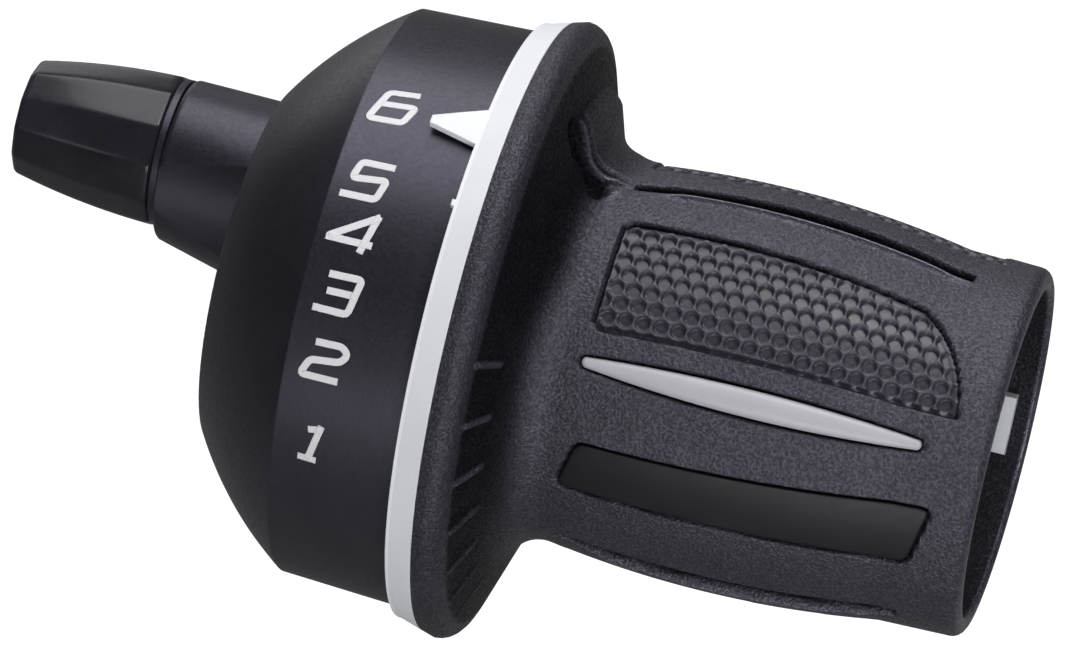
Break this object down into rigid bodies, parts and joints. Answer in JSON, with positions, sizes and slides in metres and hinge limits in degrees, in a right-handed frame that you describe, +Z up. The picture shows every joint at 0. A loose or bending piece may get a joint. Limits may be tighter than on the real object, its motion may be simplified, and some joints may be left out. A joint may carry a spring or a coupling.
{
  "type": "twist grip shifter",
  "caption": "Right-hand twist grip shifter for a bicycle handlebar: numbered drum with cone, white pointer ring, rubber twist grip and cable adjuster.",
  "frame": {"origin": "on the handlebar's axis, inside the clamp bore, in the plane where the fixed housing ends and the turning ring begins", "axes": "+X along the handlebar towards the grip's open end, +Y ahead of the bicycle, +Z up"},
  "size_m": [0.0972, 0.0566, 0.0566],
  "materials": {
    "housing_black": "fine matte moulded nylon",
    "rotor_white": "satin moulded white",
    "grip_rubber": "grained charcoal rubber",
    "inlay_grey": "smooth mid-grey",
    "plate_gloss": "gloss black",
    "adjuster_gloss": "gloss black",
    "steel": "zinc-plated"
  },
  "bodies": {
    "body": {"housing": "housing_black", "cable_cover": "housing_black", "cover_screw": "steel", "clamp_screw": "steel", "clamp_nut": "steel", "detent_spring": "steel", "adjuster_spring": "steel"},
    "grip": {"rotor": "rotor_white", "grip_sleeve": "grip_rubber", "grip_inlay": "inlay_grey", "grip_plate": "plate_gloss"},
    "adjuster_carrier": {"adjuster_collar": "housing_black"},
    "adjuster": {"adjuster_knob": "adjuster_gloss"}
  },
  "joints": [
    {"name": "grip_twist", "type": "hinge", "parent": "body", "child": "grip", "pos_m": [0, 0, 0], "axis": [1, 0, 0], "range_deg": [0, 71], "deforming": ["detent_spring"]},
    {"name": "adjuster_travel", "type": "slide", "parent": "body", "child": "adjuster_carrier", "axis": [-1, 0, 0], "range_m": [0, 0.004], "deforming": ["adjuster_spring"]},
    {"name": "adjuster_turn", "type": "hinge", "parent": "adjuster_carrier", "child": "adjuster", "pos_m": [-0.04615, 0.01766, -0.00608], "axis": [-1, 0, 0], "range_deg": [0, 1440]}
  ],
  "couplings": [
    {"joint": "adjuster_turn", "follows": "adjuster_travel", "rad_per_m": 6283.2}
  ]
}
